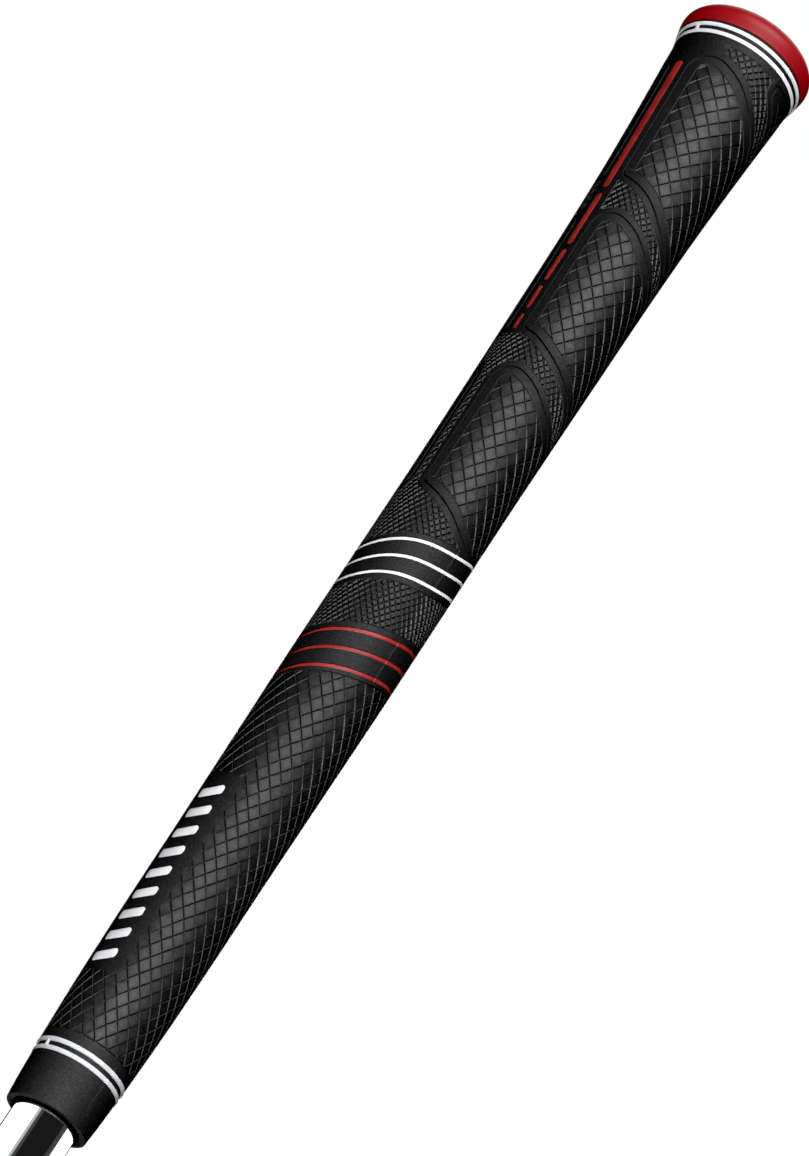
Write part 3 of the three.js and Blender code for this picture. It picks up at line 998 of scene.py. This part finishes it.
def build_cap():
    low, top = (CAP_LOW.z - MOUTH) / MM, GRIP_LENGTH
    hole_r, plug_r, plug_rounding = 1.25, 9.0, 0.25
    under, under_r = 263.75, 13.9  # the flange's underside and where it starts to round
    widest_z, flat_r = 266.1, 9.4  # where the dome starts, and the flat it ends at
    hole_rounding = 0.42
    plug_corner = plug_r - plug_rounding
    loop = [
        (hole_r, low), (plug_corner, low),
        *arc(plug_corner, low + plug_rounding, plug_rounding, plug_rounding, -90, 0, 4)[1:],
        (plug_r, under - 0.12), (plug_r + 0.1, under), (under_r, under),
        *arc(under_r, under + 0.18, 0.2, 0.18, -90, 0, 4)[1:],
        # flaring side
        (14.2, 264.3), (14.31, 264.8), (14.4, 265.3), (14.435, 265.7), (CAP_R, widest_z),
        # dome
        *arc(flat_r, widest_z, CAP_R - flat_r, top - widest_z, 0, 90, 26)[1:-1],
        # flat top with a shallow round groove
        (flat_r, top), (7.2, top), (6.95, top - 0.03), (6.8, top - 0.16),
        (6.6, top - 0.16), (6.45, top - 0.03), (6.2, top), (1.75, top),
        *arc(1.7, top - hole_rounding, hole_rounding, hole_rounding, 90, 180, 5)[1:],
    ]
    distinct = loop[:1]  # points that fall together become one
    for point in loop[1:]:
        if math.dist(point, distinct[-1]) > 1e-4:
            distinct.append(point)
    return turned("cap_shell", distinct)


def build_shaft():
    stations = [-20, -10, 0, 15, 60, 100, 140, 190, 230]
    outer_r = [float(shaft_radius(z)) for z in stations]
    outside = [
        (SHAFT_THIN_R - 0.12, SHAFT_END), (SHAFT_THIN_R - 0.03, SHAFT_END + 0.03),
        (SHAFT_THIN_R, SHAFT_END + 0.12), *zip(outer_r, stations),
        (SHAFT_THICK_R, SHAFT_TOP - 0.1), (SHAFT_THICK_R - 0.1, SHAFT_TOP)]
    thick_inner, thin_inner = SHAFT_THICK_R - SHAFT_WALL, SHAFT_THIN_R - SHAFT_WALL
    inside = [
        (thick_inner + 0.1, SHAFT_TOP), (thick_inner, SHAFT_TOP - 0.1),
        *((r - SHAFT_WALL, z) for r, z in zip(outer_r[::-1], stations[::-1])),
        (thin_inner, SHAFT_END + 0.1), (thin_inner + 0.1, SHAFT_END)]
    return turned("shaft_chrome", outside + inside)


def build_tape():
    """A strip that winds round the shaft and laps a little over itself."""
    inner_gap, outer_gap = 0.06, 0.24  # from the shaft's surface
    pitch, lap_share, lap_rise = 26.0, 0.12, 0.03
    stations = np.linspace(TAPE_LOW, TAPE_HIGH, 90)
    inner, outer = ([(float(shaft_radius(z)) + gap, float(z)) for z in stations]
                    for gap in (inner_gap, outer_gap))

    def lap(phi, radius, z):
        turn = ((z - TAPE_LOW) / pitch + phi / 360.0) % 1.0
        on_outside = radius > shaft_radius(z) + 0.15
        return np.where(on_outside, lap_rise * np.clip(1 - turn / lap_share, 0, 1), 0)

    return turned("tape_wrap", outer + inner[::-1], segments=96, swell=lap)


# ------------------------------------------------------------------ materials
class Nodes:
    """Short helper for node materials."""

    def __init__(self, name):
        self.material = bpy.data.materials.new(name)
        self.material.use_nodes = True
        self.tree = self.material.node_tree
        self.tree.nodes.clear()
        self.output = self.tree.nodes.new("ShaderNodeOutputMaterial")

    def node(self, kind, **values):
        """in_<name or number> sets or links an input; anything else sets a property."""
        node = self.tree.nodes.new("ShaderNode" + kind)
        for name, value in values.items():
            if not name.startswith("in_"):
                setattr(node, name, value)
                continue
            name = name[3:]
            socket = node.inputs[int(name) if name.isdigit() else name.replace("_", " ")]
            if isinstance(value, bpy.types.NodeSocket):
                self.tree.links.new(value, socket)
            else:
                socket.default_value = value
        return node

    def coords(self):
        return self.node("TexCoord").outputs["Object"]

    def noise(self, vector, scale, detail=3.0):
        return self.node("TexNoise", in_Vector=vector, in_Scale=scale, in_Detail=detail,
                         in_Roughness=0.55).outputs["Fac"]

    def remap(self, value, source, result):
        return self.node("MapRange", in_Value=value, in_From_Min=source[0], in_From_Max=source[1],
                         in_To_Min=result[0], in_To_Max=result[1]).outputs["Result"]

    def math(self, operation, first, second):
        return self.node("Math", operation=operation, in_0=first, in_1=second).outputs[0]

    def add(self, first, second):
        return self.math("ADD", first, second)

    def times(self, first, second):
        return self.math("MULTIPLY", first, second)

    def mix(self, share, first, second):
        return self.node("Mix", data_type="RGBA", in_0=share, in_6=first, in_7=second).outputs[2]

    def bump(self, height, strength, distance):
        return self.node("Bump", in_Height=height, in_Strength=strength,
                         in_Distance=distance).outputs["Normal"]

    def finish(self, shader):
        self.tree.links.new(shader.outputs[0], self.output.inputs[0])
        return self.material


def rgb(red, green, blue):
    return (red, green, blue, 1.0)


def rubber_black():
    """Shinier in the hatch, a little pale where there is edge wear, matte at the mouth's end and
    inside. Painted light: extra sheen on the convex hatch edges, and a paler base on the mouth's
    end face and inside.
    """
    nodes = Nodes("moulded_black_rubber")
    point = nodes.coords()
    fine = nodes.noise(point, scale=7500, detail=3)
    middle = nodes.noise(point, scale=1400, detail=4)
    broad = nodes.noise(point, scale=60, detail=3)
    zone = nodes.node("Attribute", attribute_name="hatched").outputs["Fac"]
    hatched = nodes.math("MAXIMUM", zone, 0.0)
    matte_end_painted_light = nodes.math("MAXIMUM", nodes.times(zone, -1.0), 0.0)
    pointiness = nodes.node("NewGeometry").outputs["Pointiness"]
    # convex edges: edge wear pales them a little; in the hatch the same mask also adds sheen, a
    # painted edge highlight standing in for light catching the groove walls
    wear_and_edge_sheen = nodes.remap(pointiness, source=(0.52, 0.60), result=(0.0, 1.0))

    base = nodes.mix(broad, rgb(0.0007, 0.0007, 0.0008), rgb(0.0013, 0.0013, 0.0015))
    base = nodes.mix(nodes.times(wear_and_edge_sheen, 0.5), base, rgb(0.005, 0.005, 0.005))
    # painted light: a paler base on the mouth's end face and inside stands in for light falling
    # there
    base = nodes.mix(matte_end_painted_light, base, rgb(0.017, 0.017, 0.017))

    blotches = nodes.add(nodes.times(middle, 0.7), nodes.times(broad, 0.3))
    rough = nodes.remap(blotches, source=(0.3, 0.7), result=(0.60, 0.68))
    rough = nodes.math("SUBTRACT", rough, nodes.times(hatched, 0.17))
    rough = nodes.add(rough, nodes.times(matte_end_painted_light, 0.2))

    grain = nodes.add(nodes.times(fine, 0.5), nodes.times(middle, 0.5))
    grain_strength = nodes.add(0.7, nodes.times(hatched, 0.2))
    normal = nodes.bump(grain, strength=grain_strength, distance=0.00004)

    shine = nodes.add(0.42, nodes.times(hatched, 0.11))
    speckle = nodes.noise(point, scale=3200, detail=2)
    shine = nodes.times(shine, nodes.remap(speckle, source=(0.35, 0.65), result=(0.72, 1.28)))
    # painted edge highlight: extra sheen on convex hatch edges stands in for light catching the
    # groove walls
    shine = nodes.add(shine, nodes.times(nodes.times(wear_and_edge_sheen, hatched), 0.24))
    shine = nodes.math("SUBTRACT", shine, nodes.times(matte_end_painted_light, 0.37))
    return nodes.finish(nodes.node(
        "BsdfPrincipled", in_Base_Color=base, in_Roughness=rough, in_Normal=normal,
        in_Specular_IOR_Level=shine))


def rubber_red():
    nodes = Nodes("moulded_red_rubber")
    point = nodes.coords()
    fine = nodes.noise(point, scale=7000, detail=3)
    middle = nodes.noise(point, scale=900, detail=4)
    broad = nodes.noise(point, scale=90, detail=3)
    base = nodes.mix(broad, rgb(0.24, 0.006, 0.009), rgb(0.30, 0.008, 0.012))
    rough = nodes.remap(middle, source=(0.3, 0.7), result=(0.38, 0.5))
    grain = nodes.add(nodes.times(fine, 0.4), nodes.times(middle, 0.6))
    return nodes.finish(nodes.node(
        "BsdfPrincipled", in_Base_Color=base, in_Roughness=rough,
        in_Normal=nodes.bump(grain, strength=0.3, distance=0.00006),
        in_Specular_IOR_Level=0.36))


def paint(name, dark, light, roughness):
    nodes = Nodes(name)
    point = nodes.coords()
    middle = nodes.noise(point, scale=1800, detail=4)
    broad = nodes.noise(point, scale=220, detail=3)
    patches = nodes.remap(broad, source=(0.35, 0.65), result=(0.0, 1.0))
    base = nodes.mix(patches, dark, light)
    normal = nodes.bump(middle, strength=0.25, distance=0.00005)
    rough = nodes.remap(middle, source=(0.3, 0.7), result=roughness)
    return nodes.finish(nodes.node(
        "BsdfPrincipled", in_Base_Color=base, in_Roughness=rough, in_Normal=normal))


def tape_paper():
    nodes = Nodes("crepe_tape")
    point = nodes.coords()
    crepe = nodes.node(
        "TexWave", wave_type="BANDS", bands_direction="Z", in_Vector=point, in_Scale=900.0,
        in_Distortion=6.0, in_Detail=3.0, in_Detail_Scale=2.0).outputs["Fac"]
    broad = nodes.noise(point, scale=200, detail=4)
    base = nodes.mix(nodes.times(crepe, 0.5), rgb(0.62, 0.52, 0.33), rgb(0.45, 0.36, 0.21))
    base = nodes.mix(nodes.times(broad, 0.3), base, rgb(0.72, 0.63, 0.45))
    return nodes.finish(nodes.node(
        "BsdfPrincipled", in_Base_Color=base, in_Roughness=0.85,
        in_Normal=nodes.bump(crepe, strength=0.6, distance=0.00008)))


def chrome():
    """Drawn steel under the plating leaves faint lines round the tube."""
    nodes = Nodes("bright_chrome")
    point = nodes.coords()
    stretched = nodes.node("Mapping", in_Vector=point, in_Scale=(40.0, 40.0, 5200.0))
    lines = nodes.noise(stretched.outputs[0], scale=1.0, detail=4)
    smudge = nodes.noise(point, scale=120, detail=4)
    blend = nodes.add(nodes.times(lines, 0.5), nodes.times(smudge, 0.5))
    rough = nodes.remap(blend, source=(0.3, 0.7), result=(0.045, 0.12))
    return nodes.finish(nodes.node(
        "BsdfPrincipled", in_Base_Color=rgb(0.82, 0.83, 0.85), in_Roughness=rough,
        in_Normal=nodes.bump(lines, strength=0.05, distance=0.00003), in_Metallic=1.0))


# ------------------------------------------------------------------ the grip
def finish_piece(obj, material, replaced):
    obj.data.materials.append(material)
    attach(obj, "root")
    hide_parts(replaced)
    return obj


BLACK_RUBBER, RED_RUBBER = rubber_black(), rubber_red()
WHITE_PAINT = paint("white_fill", dark=rgb(0.74, 0.74, 0.78), light=rgb(0.88, 0.88, 0.91),
                    roughness=(0.32, 0.45))
# painted shade: the same white paint made darker for the bottom rings
SHADED_WHITE_PAINT = paint("shaded_white_fill", dark=rgb(0.56, 0.57, 0.61),
                        light=rgb(0.68, 0.69, 0.73), roughness=(0.34, 0.46))
RED_PAINT = paint("red_fill", dark=rgb(0.25, 0.019, 0.016), light=rgb(0.33, 0.029, 0.024),
                  roughness=(0.34, 0.46))

TOP_PROFILE = Profile(top=0.05, crown=0.14, edge=0.28)
BOTTOM_PROFILE = Profile(top=0.13, crown=0.20, edge=0.36)
WHITE_PROFILE = Profile(top=0.04, crown=0.10, edge=0.2)
RED_PROFILE = Profile(top=-0.12, crown=0.08, edge=0.2)
BAR_PROFILE = Profile(top=0.0, crown=0.14, edge=0.3)
MARK_PROFILE = Profile(top=0.03, crown=0.10, edge=0.2)

pieces = [
    finish_piece(build_sleeve(), BLACK_RUBBER, "grip_sleeve"),
    finish_piece(build_cap(), RED_RUBBER, "butt_cap"),
    finish_piece(build_tape(), tape_paper(), "grip_tape"),
]
shaft = finish_piece(build_shaft(), chrome(), "shaft_tube")
pieces.append(finish_piece(
    double_fill("top_ring_fill", TOP_RINGS, TOP_BRIDGE_WIDTH, TOP_PROFILE),
    WHITE_PAINT, "top_double_ring"))
pieces.append(finish_piece(
    double_fill("bottom_ring_fill", BOTTOM_RINGS, BOTTOM_BRIDGE_WIDTH, BOTTOM_PROFILE),
    SHADED_WHITE_PAINT, "bottom_double_ring"))
for i, ring in enumerate(WHITE_RINGS, 1):
    fill = slanted_fill(f"white_ring_fill_{i}", ring, WHITE_HALF, WHITE_PROFILE)
    pieces.append(finish_piece(fill, WHITE_PAINT, f"mid_white_ring_{i}"))
for i, ring in enumerate(RED_RINGS, 1):
    fill = slanted_fill(f"red_ring_fill_{i}", ring, RED_HALF, RED_PROFILE)
    pieces.append(finish_piece(fill, RED_PAINT, f"mid_red_ring_{i}"))
for i, loop in enumerate(BAR_LOOPS, 1):
    fill = loop_fill(f"bar_fill_{i}", loop, BAR_PROFILE)
    pieces.append(finish_piece(fill, RED_PAINT, f"alignment_bar_{i}"))
for i, loop in enumerate(MARK_LOOPS, 1):
    fill = loop_fill(f"mark_fill_{i}", loop, MARK_PROFILE)
    pieces.append(finish_piece(fill, WHITE_PAINT, f"panel_mark_{i}"))


# ------------------------------------------------------------------ stage (metres)
def floor_material():
    """Pale floor that fades to white far away and is clear from below."""
    nodes = Nodes("pale_floor")
    geometry = nodes.node("NewGeometry")
    distance = nodes.node(
        "VectorMath", operation="LENGTH", in_0=geometry.outputs["Position"]).outputs["Value"]
    to_camera = nodes.node("LightPath").outputs["Is Camera Ray"]
    mottle = nodes.noise(nodes.coords(), scale=14, detail=3)
    tone = nodes.mix(mottle, rgb(0.80, 0.80, 0.795), rgb(0.83, 0.83, 0.825))
    pale = nodes.node(
        "BsdfPrincipled", in_Base_Color=tone, in_Roughness=0.7, in_Emission_Color=rgb(1, 1, 1),
        in_Emission_Strength=nodes.times(to_camera, 0.3), in_Specular_IOR_Level=0.2)
    glow = nodes.node("Emission", in_Color=rgb(1, 1, 1), in_Strength=1.0)
    fade = nodes.times(nodes.remap(distance, source=(0.35, 1.3), result=(0.0, 1.0)), to_camera)
    above = nodes.node("MixShader", in_0=fade, in_1=pale.outputs[0], in_2=glow.outputs[0])
    clear = nodes.node("BsdfTransparent")
    return nodes.finish(nodes.node(
        "MixShader", in_0=geometry.outputs["Backfacing"], in_1=above.outputs[0],
        in_2=clear.outputs[0]))


def build_floor():
    bpy.ops.mesh.primitive_plane_add(size=30, location=(0, 0, -0.0002))
    floor = bpy.context.object
    floor.name = "floor"
    floor.data.materials.append(floor_material())
    floor.visible_diffuse = floor.visible_glossy = floor.visible_shadow = False
    return floor


def build_world():
    """White to the camera, a faint ambient light to everything else."""
    world = bpy.data.worlds.new("studio")
    bpy.context.scene.world = world
    world.use_nodes = True
    tree = world.node_tree
    tree.nodes.clear()
    path, backdrop, ambient, pick, output = (
        tree.nodes.new("ShaderNode" + kind)
        for kind in ("LightPath", "Background", "Background", "MixShader", "OutputWorld"))
    for background, strength in ((backdrop, 1.0), (ambient, 0.015)):
        background.inputs["Color"].default_value = (1, 1, 1, 1)
        background.inputs["Strength"].default_value = strength
    tree.links.new(path.outputs["Is Camera Ray"], pick.inputs[0])
    tree.links.new(ambient.outputs[0], pick.inputs[1])
    tree.links.new(backdrop.outputs[0], pick.inputs[2])
    tree.links.new(pick.outputs[0], output.inputs[0])


def toward(azimuth, elevation):
    """Unit vector from the grip: azimuth from the front (-Y) towards +X, elevation up."""
    across, rise = math.radians(azimuth), math.radians(elevation)
    return (math.sin(across) * math.cos(rise), -math.cos(across) * math.cos(rise),
            math.sin(rise))


def area(name, direction, distance, size, power, target):
    data = bpy.data.lights.new(name, "AREA")
    data.shape = "RECTANGLE"
    data.size, data.size_y = size
    data.energy = power
    light = bpy.data.objects.new(name, data)
    bpy.context.scene.collection.objects.link(light)
    light.visible_camera = False
    direction = Vector(direction).normalized()
    light.location = Vector(target) + direction * distance
    light.rotation_euler = (-direction).to_track_quat("-Z", "Y").to_euler()
    return light


# Name, azimuth, elevation, distance, (width, height), watts
SOFTBOXES = (
    ("key", 0, -14, 1.06, (0.9, 0.4), 14.3),
    ("top", 5, 42, 1.0, (0.8, 0.4), 7.0),
    ("low_left", -50, -32, 1.06, (0.5, 0.4), 4.6),
    ("low_right", 50, -32, 1.06, (0.5, 0.4), 2.6),
    ("fill_back", 180, 62, 1.1, (0.6, 0.6), 2.5),
    ("back", 180, 9, 1.1, (0.4, 0.8), 15.0),
)
SHEEN_ONLY = ("low_left", "low_right")
# Strips round the shaft: name, azimuth, width, watts
SHAFT_STRIPS = (
    ("shaft_left", -94.7, 1.25, 8.3), ("shaft_right", 116, 0.72, 5),
    ("shaft_soft_edge", -37.3, 0.107, 0.17), ("shaft_dim_left", -26, 0.093, 0.016),
    ("shaft_dim_right", 70.3, 0.171, 0.026), ("shaft_front", 20, 0.84, 0.0165),
)


def link_lights(collection_name, objects, lights):
    """Limits the lights to the given objects."""
    receivers = bpy.data.collections.new(collection_name)
    for obj in objects:
        receivers.objects.link(obj)
    for light in lights:
        light.light_linking.receiver_collection = receivers


def build_lights(floor):
    softboxes = [
        area(name, toward(azimuth, elevation), distance, size, power, target=(0, 0, 0.15))
        for name, azimuth, elevation, distance, size, power in SOFTBOXES]
    strips = [
        area(name, toward(azimuth, 10), distance=0.5, size=(width, 0.9), power=power,
             target=(0, 0, 0.02))
        for name, azimuth, width, power in SHAFT_STRIPS]
    # a hair off straight down
    strips.append(area("shaft_under", (0.001, 0, -1), distance=0.12, size=(3.0, 3.0),
                       power=13.0, target=(0, 0, 0)))
    for light in softboxes:
        if light.name in SHEEN_ONLY:
            light.visible_diffuse = False
    link_lights("lit_by_strips", [shaft], strips)
    # fill_back lights everything
    link_lights("lit_by_softboxes", pieces + [floor],
                [light for light in softboxes if light.name != "fill_back"])


def build_camera():
    data = bpy.data.cameras.new("camera")
    data.sensor_width = 36
    data.lens = 164.7822145329
    data.clip_start, data.clip_end = 0.01, 100
    camera = bpy.data.objects.new("camera", data)
    bpy.context.scene.collection.objects.link(camera)
    # the camera's own directions in the frame
    right = Vector((0.83521, -0.23654, 0.49645))
    up = Vector((-0.54993, -0.35926, 0.75400))
    ahead = Vector((0, 0.90276, 0.43014))
    rotation = Matrix((right, up, -ahead)).transposed()
    place = Matrix.Translation((0.00025, -0.9037, MOUTH - 0.30185))
    camera.matrix_world = place @ rotation.to_4x4()
    bpy.context.scene.camera = camera


def set_view():
    view = bpy.context.scene.view_settings
    view.view_transform = "Standard"
    view.look = "None"
    view.use_curve_mapping = True
    view.curve_mapping.black_level = (0.009, 0.009, 0.009)  # deepens the blacks
    view.curve_mapping.update()


floor = build_floor()
build_world()
build_lights(floor)
build_camera()
set_view()
